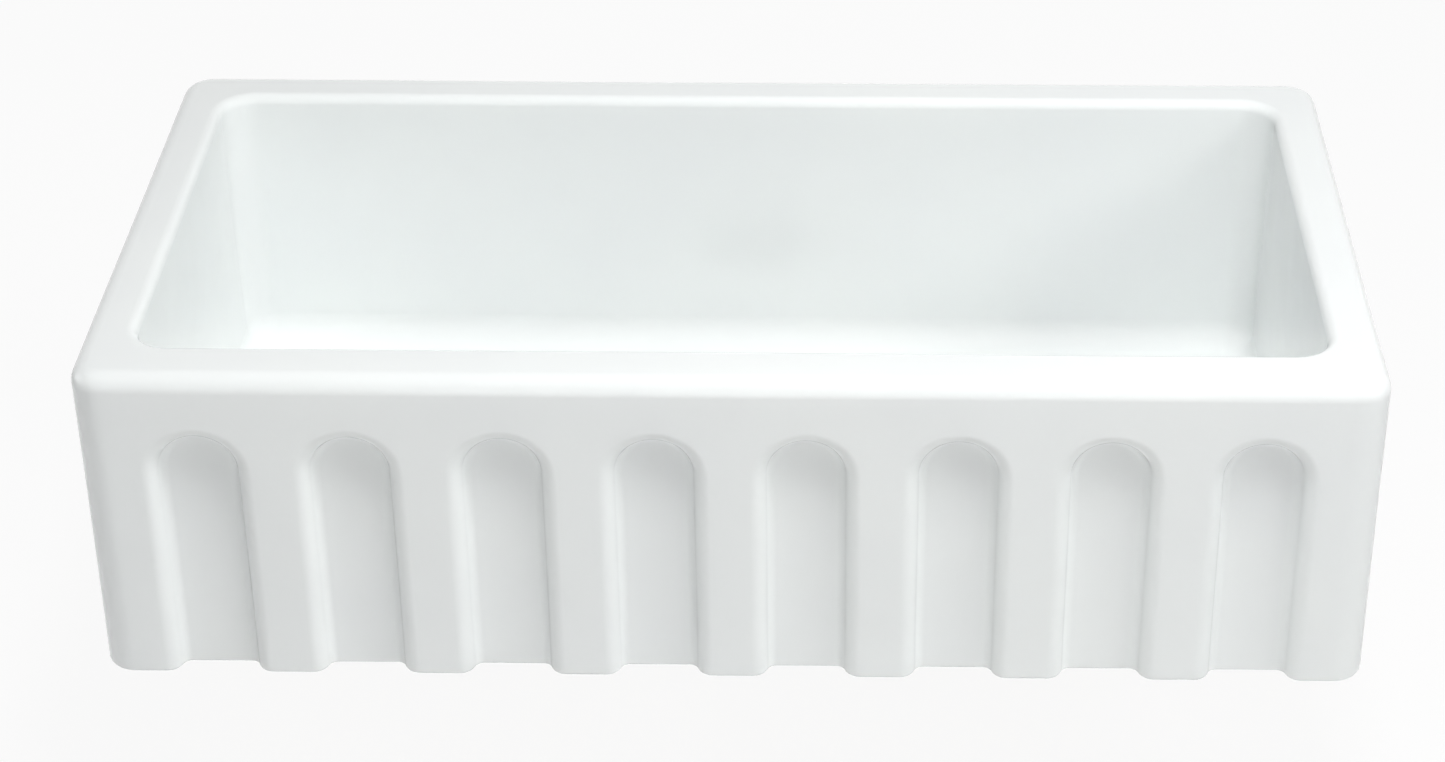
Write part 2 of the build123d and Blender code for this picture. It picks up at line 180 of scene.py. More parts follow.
def turned_metal(name, code, roughness, line_mm, relief):
    """Metal turned or brushed about the drain's axis: fine rings that follow the radius."""
    material, tree, shader = new_material(name, **{"Metallic": 1.0})
    place = add(tree, "ShaderNodeTexCoord").outputs["Object"]
    flat = add(tree, "ShaderNodeVectorMath", operation="MULTIPLY", links={0: place},
               values={1: (1, 1, 0)})
    radius = add(tree, "ShaderNodeVectorMath", operation="LENGTH",
                 links={0: flat.outputs["Vector"]})
    split = add(tree, "ShaderNodeSeparateXYZ", links={"Vector": place})
    spot = add(tree, "ShaderNodeCombineXYZ",
               links={"X": radius.outputs["Value"], "Z": split.outputs["Z"]})
    rings = add(tree, "ShaderNodeTexNoise", links={"Vector": spot.outputs["Vector"]},
                values={"Scale": 1 / (line_mm * MM), "Detail": 3.0, "Roughness": 0.6})
    smear = add(tree, "ShaderNodeTexNoise", links={"Vector": place},
                values={"Scale": 1 / (9 * MM), "Detail": 3.0})
    tone = add(tree, "ShaderNodeMath", operation="MULTIPLY_ADD",
               links={0: rings.outputs["Fac"]}, values={1: 0.12, 2: roughness - 0.06})
    blur = add(tree, "ShaderNodeMath", operation="MULTIPLY_ADD",
               links={0: smear.outputs["Fac"], 2: tone.outputs["Value"]}, values={1: 0.06})
    tree.links.new(blur.outputs["Value"], shader.inputs["Roughness"])
    shader.inputs["Base Color"].default_value = linear(code)
    bump = add(tree, "ShaderNodeBump", links={"Height": rings.outputs["Fac"]},
               values={"Strength": relief, "Distance": 0.03 * MM})
    tree.links.new(bump.outputs["Normal"], shader.inputs["Normal"])
    return material


def moulded(name, dark, light, roughness, grain_mm, relief):
    """Moulded rubber, foam, plastic or fibre: two close tones in a fine grain."""
    material, tree, shader = new_material(name, **{"Roughness": roughness})
    place = add(tree, "ShaderNodeTexCoord").outputs["Object"]
    grain = add(tree, "ShaderNodeTexNoise", links={"Vector": place},
                values={"Scale": 1 / (grain_mm * MM), "Detail": 3.0, "Roughness": 0.6})
    shade = ramp(tree, grain.outputs["Fac"], [(0.3, dark), (0.7, light)])
    tree.links.new(shade, shader.inputs["Base Color"])
    bump = add(tree, "ShaderNodeBump", links={"Height": grain.outputs["Fac"]},
               values={"Strength": relief, "Distance": 0.1 * MM})
    tree.links.new(bump.outputs["Normal"], shader.inputs["Normal"])
    return material


glaze = glazed_fireclay()
clay = bare_fireclay()
# drawn stainless steel, brushed round: a soft grey with fine rings
stainless = turned_metal("brushed_stainless_steel", "#D8D9D8", 0.26, 0.5, 0.35)
# chrome plate on brass: nearly mirror bright
chrome = turned_metal("chrome_plate", "#DCDEE0", 0.10, 2.0, 0.08)
# cast yellow brass with a tumbled skin
brass = turned_metal("cast_brass", "#C8A25C", 0.42, 1.2, 0.6)
# moulded black rubber, dull, with a faint bloom
rubber = moulded("black_rubber", "#161616", "#262625", 0.62, 1.5, 0.25)
# closed-cell foam: pale grey and open-grained
foam = moulded("closed_cell_foam", "#C9C9C4", "#DEDEDA", 0.9, 0.8, 0.6)
# natural polyethylene: milky, a little waxy
polyethylene = moulded("natural_polyethylene", "#DAD8CF", "#E6E4DC", 0.4, 4.0, 0.1)
# vulcanised fibre: red-brown pressed paper
fibre = moulded("vulcanised_fibre", "#5E2A20", "#7A3A2B", 0.7, 0.7, 0.3)

SLOT_MATERIALS = {
    "glaze": glaze, "stainless": stainless, "chrome": chrome, "brass": brass, "rubber": rubber,
    "foam": foam, "soft_washer": polyethylene, "fibre": fibre,
}
for part in frame["record"]["subparts"]:
    mesh = frame["nodes"][part["node"]].data
    mesh.materials.clear()
    mesh.materials.append(SLOT_MATERIALS[part["material_slot"]])


# ---------------------------------------------------------------- grids and meshes

# in millimetres: points nearer than WELD become one, and edges under SLIVER are dropped
WELD, SLIVER = 0.002, 0.001


class Skin:
    """Quads gathered from grids of points in millimetres, then welded into one mesh."""

    def __init__(self):
        self.points, self.quads, self.slots, self.count = [], [], [], 0

    def grid(self, points, closed=False, slot=0):
        """Adds points[row, column, xyz]; closed joins the last column to the first."""
        rows, columns = points.shape[:2]
        index = np.arange(rows * columns).reshape(rows, columns) + self.count
        if closed:
            index = np.concatenate([index, index[:, :1]], axis=1)
        quads = np.stack([index[:-1, :-1], index[:-1, 1:], index[1:, 1:], index[1:, :-1]], -1)
        quads = quads.reshape(-1, 4)
        self.points.append(points.reshape(-1, 3))
        self.quads.append(quads)
        self.slots.append(np.full(len(quads), slot))
        self.count += rows * columns

    def build(self, name, materials, body, node=None, slot=None, shape=None, bored=False):
        """Welds the grids, closes a bored piece between the two rims of its hole, turns the
        faces outwards and makes the piece."""
        mesh = bpy.data.meshes.new(name)
        mesh.from_pydata(np.concatenate(self.points) * MM, [], np.concatenate(self.quads))
        mesh.polygons.foreach_set("material_index", np.concatenate(self.slots))
        work = bmesh.new()
        work.from_mesh(mesh)
        bmesh.ops.remove_doubles(work, verts=work.verts, dist=WELD * MM)
        bmesh.ops.dissolve_degenerate(work, edges=work.edges, dist=SLIVER * MM)
        if bored:
            rims = [edge for edge in work.edges if edge.is_boundary]
            bmesh.ops.bridge_loops(work, edges=rims)
        bmesh.ops.recalc_face_normals(work, faces=work.faces)
        work.to_mesh(mesh)
        work.free()
        if shape is not None:
            shape(mesh)
        mesh.polygons.foreach_set("use_smooth", np.ones(len(mesh.polygons), bool))
        for material in materials:
            mesh.materials.append(material)
        piece = bpy.data.objects.new(name, mesh)
        bpy.context.scene.collection.objects.link(piece)
        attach(piece, body)
        if node:
            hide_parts(node)
        return piece


def arc(start, end, count):
    """count + 1 angles from start to end, in radians, given in degrees."""
    return np.radians(np.linspace(start, end, count + 1))


# ---------------------------------------------------------------- fireclay body

# sizes in millimetres, as the solid's
WIDTH_X, DEPTH_Y, TOP = HALF_WIDTH / MM, HALF_DEPTH / MM, HEIGHT / MM
CORNER, RIM_EDGE, BASE_EDGE = 23.0, 13.5, 3.0
SIDE_RIM, FRONT_RIM, BACK_RIM = 38.0, 45.0, 40.0
BOWL_CORNER, BOWL_LIP, DRAFT, COVE = 26.0, 8.0, math.radians(1.0), 22.0
FLOOR, FALL = 31.0, 5.0
FLUTES, PITCH, FLUTE_HALF, FLUTE_DEPTH = 8, 106.5, 39.0, 12.5
FLUTE_LIP, FLUTE_COVE, FLANK, SPRING = 12.0, 6.5, math.radians(70), 174.0
FOOT, UNDER_CORNER, RECESS, BOSS, BOSS_RELIEF = 34.0, 30.0, 6.0, 68.0, 2.0
DRAIN_HOLE, SEAT_RADIUS, SEAT = 45.0, 59.0, 23.0
# the roundings over the seat and the hole, how low the seat's one is centred, where the upper
# part of the hole ends, and how the floor's fall steepens
SEAT_EDGE, HOLE_EDGE, SEAT_DROP, HOLE_END, FALL_CURVE = 2.0, 1.5, 1.6, 9.0, 0.9
# a ring on the boss between its edge and the hole, and the row of the foot where the glaze ends
BOSS_RING, GLAZE_END = 56.0, 6
# how far the fired walls sink, and where they stay true: round the drain and over the foot
SINK, CALM_RADIUS, CALM_FADE, CALM_HEIGHT, CALM_RISE = 0.5, 75.0, 60.0, 6.0, 25.0
FRONT = -DEPTH_Y


def flute_section():
    """The flute's half section, from its lip to its middle: distance from the middle, depth and
    the turn of the surface. A convex arc, a short flank and a concave arc, then the flat."""
    lip = np.linspace(0, FLANK, 9)
    cove = np.linspace(FLANK, 0, 8)
    reach = FLUTE_LIP + FLUTE_COVE
    flank = (FLUTE_DEPTH - reach * (1 - math.cos(FLANK))) / math.sin(FLANK)
    middle = FLUTE_HALF - reach * math.sin(FLANK) - flank * math.cos(FLANK)
    flat = middle * np.array([0.7, 0.4, 0.0])
    across = np.concatenate([FLUTE_HALF - FLUTE_LIP * np.sin(lip),
                             middle + FLUTE_COVE * np.sin(cove), flat])
    deep = np.concatenate([FLUTE_LIP * (1 - np.cos(lip)),
                           FLUTE_DEPTH - FLUTE_COVE * (1 - np.cos(cove)),
                           np.full(3, FLUTE_DEPTH)])
    turn = np.concatenate([lip, cove, np.zeros(3)])
    return across, deep, turn


ACROSS, DEEP, TURN = flute_section()
HALF_CELL = PITCH / 2
PANEL_TOP = TOP - RIM_EDGE
HEAD_ROOM = PANEL_TOP - SPRING
CORNER_TURN = math.degrees(math.atan2(HEAD_ROOM, HALF_CELL))
SHAFT_LEVELS = np.linspace(BASE_EDGE, SPRING, 16)
SIDE_TURNS = arc(0, CORNER_TURN, 9)
SIDE_LEVELS = SPRING + HALF_CELL * np.tan(SIDE_TURNS)
WALL_LEVELS = np.concatenate([SHAFT_LEVELS, SIDE_LEVELS[1:]])
TOP_TURNS = arc(180 - CORNER_TURN, CORNER_TURN, 14)
CELL_TOP = HEAD_ROOM / np.tan(TOP_TURNS)
CENTRES = (np.arange(FLUTES) - (FLUTES - 1) / 2) * PITCH
STRAIGHT_X = WIDTH_X - CORNER
END_STRIP = np.linspace(CENTRES[-1] + HALF_CELL, STRAIGHT_X, 3)
MARGIN = np.linspace(1, 0, 4)[:-1]


def flute_cell(centre):
    """One flute and the flat round it. Rows follow the flute: up its left side, round its head
    and down its right. Columns run from the cell's edge over the lip to the flute's middle;
    round the head, the edge is where a ray from the spring point meets the cell's outline."""
    turns = np.concatenate([np.pi - SIDE_TURNS, TOP_TURNS[1:-1], SIDE_TURNS[::-1]])
    cosine, sine = np.cos(turns), np.sin(turns)
    ray = np.minimum(HALF_CELL / np.maximum(np.abs(cosine), 1e-9),
                     HEAD_ROOM / np.maximum(sine, 1e-9))
    shaft = SHAFT_LEVELS[:-1]
    lengths = np.concatenate([np.full(len(shaft), HALF_CELL), ray, np.full(len(shaft), HALF_CELL)])
    side = np.concatenate([np.full(len(shaft), -1.0), cosine, np.full(len(shaft), 1.0)])
    rise = np.concatenate([np.zeros(len(shaft)), sine, np.zeros(len(shaft))])
    base = np.concatenate([shaft, np.full(len(turns), SPRING), shaft[::-1]])
    edge = FLUTE_HALF + (lengths[:, None] - FLUTE_HALF) * MARGIN
    out = np.concatenate([edge, np.broadcast_to(ACROSS, (len(side), len(ACROSS)))], axis=1)
    deep = np.concatenate([np.zeros(len(MARGIN)), DEEP])
    return np.stack([centre + side[:, None] * out,
                     FRONT + np.broadcast_to(deep, out.shape),
                     base[:, None] + rise[:, None] * out], axis=-1)


def sides(half_x, half_y, corner, middle_y, count_x=48, count_y=24, count_corner=8):
    """The outline of a rounded rectangle without its front straight: from the front right
    corner round the right, the back and the left to the front left corner."""
    start, end = half_x - corner, half_y - corner
    turn = arc(-90, 0, count_corner)
    up = np.linspace(-end, end, count_y + 1)[1:-1]
    back = np.linspace(start, -start, count_x + 1)[1:-1]
    x = np.concatenate([start + corner * np.cos(turn), np.full(len(up), half_x),
                        start + corner * np.cos(turn + np.pi / 2), back,
                        -start + corner * np.cos(turn + np.pi), np.full(len(up), -half_x),
                        -start + corner * np.cos(turn + 3 * np.pi / 2)])
    y = np.concatenate([-end + corner * np.sin(turn), up,
                        end + corner * np.sin(turn + np.pi / 2), np.full(len(back), half_y),
                        end + corner * np.sin(turn + np.pi), up[::-1],
                        -end + corner * np.sin(turn + 3 * np.pi / 2)])
    return np.stack([x, y + middle_y], axis=-1)


def outline(front_x, half_x, half_y, corner, middle_y):
    """The whole outline: the front straight at front_x, which is scaled to this outline's
    straight, then the sides."""
    scale = (half_x - corner) / STRAIGHT_X
    front = np.stack([front_x * scale, np.full(len(front_x), middle_y - half_y)], axis=-1)
    return np.concatenate([front[1:-1], sides(half_x, half_y, corner, middle_y)])


def level(plan, height):
    """The plan's (x, y) points at one height."""
    return np.concatenate([plan, np.full((len(plan), 1), height)], axis=1)


def rings(plan, radii, heights):
    """Circles about the drain's axis, each point at the bearing that it has on plan."""
    bearing = np.arctan2(plan[:, 1], plan[:, 0])
    way = np.stack([np.cos(bearing), np.sin(bearing)], axis=-1)
    return [level(way * radius, height) for radius, height in zip(radii, heights)]


def upper_rows(front_x):
    """From the top of the walls over the rim edge, the flat rim and the bowl's lip, down the
    drafted wall, round the cove and over the falling floor into the drain's seat and hole."""
    bowl_x = WIDTH_X - SIDE_RIM
    bowl_y = DEPTH_Y - (FRONT_RIM + BACK_RIM) / 2
    shift = (FRONT_RIM - BACK_RIM) / 2
    rows = []
    for turn in arc(0, 90, 8):
        inset = RIM_EDGE * (1 - math.cos(turn))
        plan = outline(front_x, WIDTH_X - inset, DEPTH_Y - inset, CORNER - inset, 0.0)
        rows.append(level(plan, PANEL_TOP + RIM_EDGE * math.sin(turn)))
    lip_middle = -BOWL_LIP * (1 - math.sin(DRAFT)) / math.cos(DRAFT)
    cove_height = FLOOR + COVE
    cove_middle = (TOP - cove_height) * math.tan(DRAFT) + COVE / math.cos(DRAFT)
    wall_turn = np.pi / 2 - DRAFT
    turns = np.linspace(0, wall_turn, 9)
    inner = [(lip_middle + BOWL_LIP * math.sin(t), TOP - BOWL_LIP * (1 - math.cos(t)))
             for t in turns]
    coved = [(cove_middle - COVE * math.sin(t), cove_height - COVE * math.cos(t))
             for t in np.linspace(wall_turn, 0, 11)]
    drop = np.linspace(0, 1, 13)[1:-1, None]
    wall = np.array(inner[-1]) * (1 - drop) + np.array(coved[0]) * drop
    bowl = [level(outline(front_x, bowl_x - i, bowl_y - i, max(BOWL_CORNER - i, 0.3), shift), z)
            for i, z in [*inner, *wall.tolist(), *coved]]
    rim = rows[-1]
    rows += [rim * (1 - share) + bowl[0] * share for share in (0.33, 0.67)]
    rows += bowl
    edge = bowl[-1]
    seat_middle = FLOOR - FALL - SEAT_DROP
    seat_edge = rings(edge[:, :2], [SEAT_RADIUS + SEAT_EDGE], [seat_middle + SEAT_EDGE])[0]
    for share in np.linspace(0, 1, 22)[1:]:
        row = edge * (1 - share) + seat_edge * share
        row[:, 2] = FLOOR + (seat_edge[0, 2] - FLOOR) * share**FALL_CURVE
        rows.append(row)
    drain = [(SEAT_RADIUS + SEAT_EDGE * (1 - math.sin(t)), seat_middle + SEAT_EDGE * math.cos(t))
             for t in arc(15, 90, 5)]
    # a small hollow where the seat's wall meets the seat
    drain += [(SEAT_RADIUS, SEAT + 0.8), (SEAT_RADIUS - 0.3, SEAT + 0.2), (SEAT_RADIUS - 0.9, SEAT)]
    drain += [(DRAIN_HOLE + HOLE_EDGE * (1 - math.sin(t)), SEAT - HOLE_EDGE * (1 - math.cos(t)))
              for t in arc(0, 90, 4)]
    drain += [(DRAIN_HOLE, HOLE_END)]
    rows += rings(edge[:, :2], *zip(*drain))
    return np.stack(rows)


def lower_rows():
    """From the bottom of the walls round the base edge, which follows the flutes, across the
    foot and the relieved underside to the drain's boss."""
    flat = FLUTE_HALF + (HALF_CELL - FLUTE_HALF) * MARGIN
    out = np.concatenate([flat, ACROSS])
    deep = np.concatenate([np.zeros(len(flat)), DEEP])
    turn = np.concatenate([np.zeros(len(flat)), TURN])
    side = np.concatenate([-np.ones(len(out)), np.ones(len(out) - 1)])
    out, deep, turn = (np.concatenate([v, v[-2::-1]]) for v in (out, deep, turn))
    x = np.concatenate([c + side * out for c in CENTRES])
    deep, push_x, push_y = (np.tile(v, FLUTES) for v in (deep, side * np.sin(turn), np.cos(turn)))
    keep = np.concatenate([[True], np.abs(np.diff(x)) > 1e-6])
    x = np.concatenate([[-END_STRIP[1]], x[keep], [END_STRIP[1]]])
    deep, push_x = (np.concatenate([[0.0], v[keep], [0.0]]) for v in (deep, push_x))
    push_y = np.concatenate([[1.0], push_y[keep], [1.0]])
    rows = []
    for t in arc(0, 90, 5):
        inset = BASE_EDGE * (1 - math.cos(t))
        front = np.stack([x + push_x * inset, FRONT + deep + push_y * inset], axis=-1)
        plan = np.concatenate([front, sides(WIDTH_X - inset, DEPTH_Y - inset, CORNER - inset, 0.0)])
        rows.append(level(plan, BASE_EDGE * (1 - math.sin(t))))
    front_x = np.concatenate([[-STRAIGHT_X], x, [STRAIGHT_X]])
    # across the foot the lines run straight back from the flutes, and close up by the corners
    last, end = CENTRES[-1], WIDTH_X - FOOT - UNDER_CORNER
    away = np.abs(front_x)
    away = np.minimum(away, last) + np.maximum(away - last, 0) * (end - last) / (STRAIGHT_X - last)
    front_x = np.sign(front_x) * away * STRAIGHT_X / end
    # over the foot's inner edge, up the side of the recess and on to its roof, each a little eased
    for inset, height in ((FOOT - 1.0, 0.0), (FOOT, 1.0), (FOOT + 0.5, RECESS - 1.5),
                          (FOOT + 2.0, RECESS)):
        corner = UNDER_CORNER + FOOT - inset
        rows.append(level(outline(front_x, WIDTH_X - inset, DEPTH_Y - inset, corner, 0.0), height))
    rows.insert(GLAZE_END, rows[GLAZE_END - 1] * 0.5 + rows[GLAZE_END] * 0.5)
    edge = rows[-1]
    boss_edge = rings(edge[:, :2], [BOSS + 2.0], [RECESS])[0]
    rows += [edge * (1 - share) + boss_edge * share for share in np.linspace(0, 1, 9)[1:]]
    rows += rings(edge[:, :2], [BOSS + 0.6, BOSS, BOSS - 0.6, BOSS_RING, DRAIN_HOLE],
                  [RECESS - 0.6, RECESS - 2.0, BOSS_RELIEF, BOSS_RELIEF, BOSS_RELIEF])
    return np.stack(rows)


def settle(mesh):
    """Fired clay is never quite flat: every point sinks by up to SINK along its normal, as a sum
    of three slow sine waves says. The foot and the drain's seat stay true."""
    count = len(mesh.vertices)
    spots, normals = np.empty(count * 3), np.empty(count * 3)
    mesh.vertices.foreach_get("co", spots)
    mesh.vertices.foreach_get("normal", normals)
    spots, normals = spots.reshape(-1, 3) / MM, normals.reshape(-1, 3)
    x, y, z = spots.T
    wave = (np.sin(x / 61 + z / 83 + 0.7) + np.sin(y / 47 - x / 97 + 2.1)
            + np.sin(z / 39 + x / 151 - y / 71 + 4.0)) / 3
    calm = (np.clip((np.hypot(x, y) - CALM_RADIUS) / CALM_FADE, 0, 1)
            * np.clip((z - CALM_HEIGHT) / CALM_RISE, 0, 1))
    sink = SINK / 2 * (1 + wave) * calm
    spots -= normals * sink[:, None]
    mesh.vertices.foreach_set("co", (spots * MM).ravel())


def fireclay_body():
    """The whole casting: apron cells, end strips, walls, the rows over the top and below."""
    skin = Skin()
    for centre in CENTRES:
        skin.grid(flute_cell(centre))
    for side in (-1, 1):
        x = side * END_STRIP
        strip = np.stack(np.broadcast_arrays(x[None, :], FRONT, WALL_LEVELS[:, None]), axis=-1)
        skin.grid(strip)
    front_x = (CENTRES[:, None] + CELL_TOP[None, :-1]).ravel()
    front_x = np.concatenate([-END_STRIP[:0:-1], front_x, END_STRIP])
    rest = sides(WIDTH_X, DEPTH_Y, CORNER, 0.0)
    skin.grid(np.stack([level(rest, z) for z in WALL_LEVELS]))
    skin.grid(upper_rows(front_x), closed=True)
    under = lower_rows()
    skin.grid(under[:GLAZE_END + 1], closed=True)
    skin.grid(under[GLAZE_END:], closed=True, slot=1)
    return skin


fireclay = fireclay_body().build("fireclay_bowl", [glaze, clay], "sink", "sink_body", "glaze",
                                 settle, bored=True)
weighted = fireclay.modifiers.new("even_normals", "WEIGHTED_NORMAL")
weighted.keep_sharp = False


# ---------------------------------------------------------------- turned pieces of the drain

def eased(corners, steps=4):
    """The outline through (radius, height, easing) corners. Each corner P becomes the curve
    (1 - s)^2 A + 2 s (1 - s) P + s^2 B, where A and B lie its easing away on its two sides."""
    spots, easing = np.array(corners)[:, :2], np.array(corners)[:, 2:]
    back, ahead = np.roll(spots, 1, 0) - spots, np.roll(spots, -1, 0) - spots
    long_back, long_ahead = (np.linalg.norm(v, axis=1, keepdims=True) for v in (back, ahead))
    first = spots + back / long_back * np.minimum(easing, 0.45 * long_back)
    last = spots + ahead / long_ahead * np.minimum(easing, 0.45 * long_ahead)
    s = np.linspace(0, 1, steps + 1)[None, :, None]
    curve = (1 - s)**2 * first[:, None] + 2 * s * (1 - s) * spots[:, None] + s**2 * last[:, None]
    return curve.reshape(-1, 2)


def revolved(outline, turns, reach=None):
    """An outline of (radius, height) points carried round the drain's axis: the point at bearing
    b is (R cos b, R sin b, height). reach gives R from radius, height and bearing."""
    bearing = np.linspace(0, 2 * np.pi, turns, endpoint=False)[None, :]
    radius, height = (np.repeat(v[:, None], turns, axis=1) for v in outline.T)
    if reach is not None:
        radius = reach(radius, height, bearing)
    return np.stack([radius * np.cos(bearing), radius * np.sin(bearing), height], axis=-1)


def turned(name, material, body, node, slot, outline, turns=144, reach=None, ring=True):
    """A piece turned about the drain's axis. A ring's outline is closed, and one that isn't a
    ring starts and ends on the axis."""
    skin = Skin()
    if ring:
        outline = np.concatenate([outline, outline[:1]])
    skin.grid(revolved(outline, turns, reach), closed=True)
    piece = skin.build(name, [material], body, node, slot)
    piece.modifiers.new("even_normals", "WEIGHTED_NORMAL")


def hexagon(flats):
    """Cuts a turned blank to six flats: R is the less of its radius and (flats / 2) / cos(a),
    where a is the angle from the nearest flat's middle. Cones left on the ends stay round."""
    def reach(radius, height, bearing):
        fold = bearing % (math.pi / 3) - math.pi / 6
        return np.minimum(radius, flats / 2 / np.cos(fold))
    return reach


def lugs(count, tip, waist, width):
    """Spanner lugs on a cast nut: outside the waist R grows to tip inside a window round each
    lug's middle. The window falls from 1 to 0 as a cosine over its last 1.6 mm."""
    def reach(radius, height, bearing):
        step = 2 * math.pi / count
        away = np.abs((bearing + step / 2) % step - step / 2) * tip
        window = 0.5 + 0.5 * np.cos(np.pi * np.clip((away - width / 2 + 1.6) / 1.6, 0, 1))
        grown = radius + window * (tip - np.maximum(radius, waist))
        return np.where(radius > waist - 3, grown, radius)
    return reach


def screw(pitch, depth, low, high, outside):
    """A rolled thread: outside points between low and high sink by depth (1 - cos(2 pi p)) / 2,
    where p = height / pitch - turns round, and fade out over the first and last 1.5 mm."""
    def reach(radius, height, bearing):
        turn = height / pitch - bearing / (2 * np.pi)
        fade = np.clip(np.minimum(height - low, high - height) / 1.5, 0, 1)
        groove = depth * (1 - np.cos(2 * np.pi * turn)) / 2 * fade
        return np.where(np.abs(radius - outside) < 0.01, radius - groove, radius)
    return reach


# pressed cup: brushed flange, throat, shoulder, chamber and a spigot with its thread
THREAD_RADIUS, THREAD_PITCH, THREAD_DEPTH = 23.7, 2.2, 1.0
THREAD_LOW, THREAD_HIGH, THREAD_STEPS = -56.4, -33.8, 96
cup_low = eased([
    (57.0, 24.5, 0.2), (57.0, 25.5, 0.5), (48.0, 26.1, 2.0), (44.5, 24.9, 1.2), (41.0, 20.5, 2.0),
    (41.0, -14.0, 2.0), (36.0, -19.0, 2.0), (36.0, -31.0, 1.5), (20.5, -31.0, 1.2),
    (20.5, -57.0, 0.3), (THREAD_RADIUS, -57.0, 0.3)])
cup_high = eased([
    (20.5, -57.0, 0.3), (THREAD_RADIUS, -32.6, 0.8), (37.6, -32.6, 2.0), (37.6, -19.8, 1.2),
    (43.0, -14.8, 1.5), (43.0, 20.5, 1.5), (45.8, 24.5, 1.0), (57.0, 24.5, 0.2)])[5:-5]
thread_rows = np.stack([np.full(THREAD_STEPS, THREAD_RADIUS),
                        np.linspace(THREAD_LOW, THREAD_HIGH, THREAD_STEPS)], axis=-1)
turned("pressed_cup", stainless, "sink", "strainer_cup", "stainless",
       np.concatenate([cup_low, thread_rows, cup_high]), 160,
       screw(THREAD_PITCH, THREAD_DEPTH, THREAD_LOW, THREAD_HIGH, THREAD_RADIUS))

# turned knob: one smooth curve from its foot over the finger waist to the crown
turned("pull_knob", chrome, "stopper", "knob", "chrome", eased([
    (0.0, 14.7, 0.0), (3.05, 14.7, 0.2), (3.05, 2.0, 0.2), (6.6, 2.0, 0.5), (5.0, 8.0, 3.0),
    (5.8, 16.0, 2.0), (8.4, 18.1, 1.5), (11.6, 19.4, 1.0), (12.0, 20.6, 0.8), (12.0, 23.2, 1.0),
    (7.0, 24.4, 2.5), (3.2, 24.9, 1.5), (0.0, 25.0, 0.0)])[4:-4], 96, ring=False)

# cast nut with six lugs under the bearing flange
turned("lugged_nut", brass, "sink", "locknut", "brass", eased([
    (43.15, -16.0, 0.5), (49.0, -16.0, 1.2), (49.0, -7.0, 0.8), (54.0, -7.0, 0.8),
    (54.0, -4.0, 0.5), (43.15, -4.0, 0.5)]), 432, lugs(6, 55.0, 49.0, 9.0))

# hexagon slip nut: its flats run out into cones at both ends
turned("slip_nut", chrome, "sink", "coupling_nut", "chrome", eased([
    (19.45, -63.0, 0.4), (28.6, -63.0, 0.8), (32.4, -60.8, 0.5), (32.4, -48.2, 0.5),
    (28.6, -46.0, 0.8), (24.85, -46.0, 0.3), (23.85, -47.0, 0.3), (23.85, -60.5, 0.2),
    (19.45, -60.5, 0.2)]), 240, hexagon(56.0))

# drawn tube with a formed flange and a softened lower end
turned("drawn_tail", chrome, "sink", "tailpiece", "chrome", eased([
    (17.95, -160.6, 0.4), (19.05, -160.6, 0.4), (19.05, -64.5, 0.4), (19.25, -63.8, 0.4),
    (19.25, -60.5, 0.2), (23.0, -60.5, 0.5), (23.0, -59.0, 0.5), (17.95, -59.0, 1.0)]), 128)

# moulded gasket and stopper seal: fat rings with soft edges
turned("bedding_gasket", rubber, "sink", "sink_gasket", "rubber", eased([
    (43.5, -3.0, 0.6), (56.6, -3.0, 1.4), (57.0, -0.5, 1.4), (56.4, 2.0, 1.0),
    (43.5, 2.0, 0.6)]), 144)
turned("bevelled_seal", rubber, "stopper", "stopper_seal", "rubber", eased([
    (3.05, -31.0, 0.2), (29.3, -31.0, 0.6), (30.5, -29.8, 0.5), (30.5, -28.2, 0.5),
    (29.3, -27.0, 0.6), (3.05, -27.0, 0.2)]), 128)


# ---------------------------------------------------------------- perforated basket

# 160 points round serve cells of 10, 16 and 20 to the turn
ROUND, SHEET = 160, 0.8
BASKET_BORE, BASKET_BOTTOM = 5.2, -16.5
# radii between which the rings of holes lie, and heights between which the rows of slots lie
HOLES_IN, HOLES_BETWEEN, HOLES_OUT = 7.4, 18.6, 28.2
SLOTS_LOW, SLOTS_BETWEEN, SLOTS_HIGH = -14.4, 1.75, 19.0
# each ring's radius, holes and limits, and each row's middle height and limits
HOLE_RINGS = ((14.0, 10, HOLES_IN, HOLES_BETWEEN), (23.0, 16, HOLES_BETWEEN, HOLES_OUT))
SLOT_ROWS = ((-7.375, SLOTS_LOW, SLOTS_BETWEEN), (10.875, SLOTS_BETWEEN, SLOTS_HIGH))
HOLE, SLOTS, SLOT_HALF, SLOT_LONG = 2.0, 20, 1.2, 4.3
# the bead that the rim is rolled over
BEAD_PLACE, BEAD_HEIGHT, BEAD = 41.0, 23.2, 1.2
BASKET_LINE = eased([
    (BASKET_BORE, BASKET_BOTTOM, 0.0), (30.5, BASKET_BOTTOM, 0.9), (32.5, -15.0, 0.9),
    (38.6, 20.0, 1.2), (BEAD_PLACE, BEAD_HEIGHT, 0.0)])[4:-4]


def pierced(count, low, high, steps, hole):
    """Cells round the axis, each with one hole: rings of points from the cell's edge to the
    hole's, edge (1 - s) + hole s. The cell runs half a step of bearing to each side and from
    low to high; hole gives the hole's points from their share of the way round the edge."""
    half = math.pi / count
    across = np.linspace(-1, 1, ROUND // count + 1)
    up = np.linspace(-1, 1, steps + 1)
    side = np.concatenate([across[:-1], np.ones(steps), across[:0:-1], -np.ones(steps)])
    rise = np.concatenate([-np.ones(len(across) - 1), up[:-1], np.ones(len(across) - 1), up[:0:-1]])
    edge = np.stack([side * half, (low + high) / 2 + rise * (high - low) / 2], axis=-1)
    share = np.array([0.0, 0.35, 0.7, 1.0])[:, None, None]
    rings = edge * (1 - share) + hole(side, rise) * share
    for step in range(count):
        yield rings + np.array([step * 2 * half, 0.0])


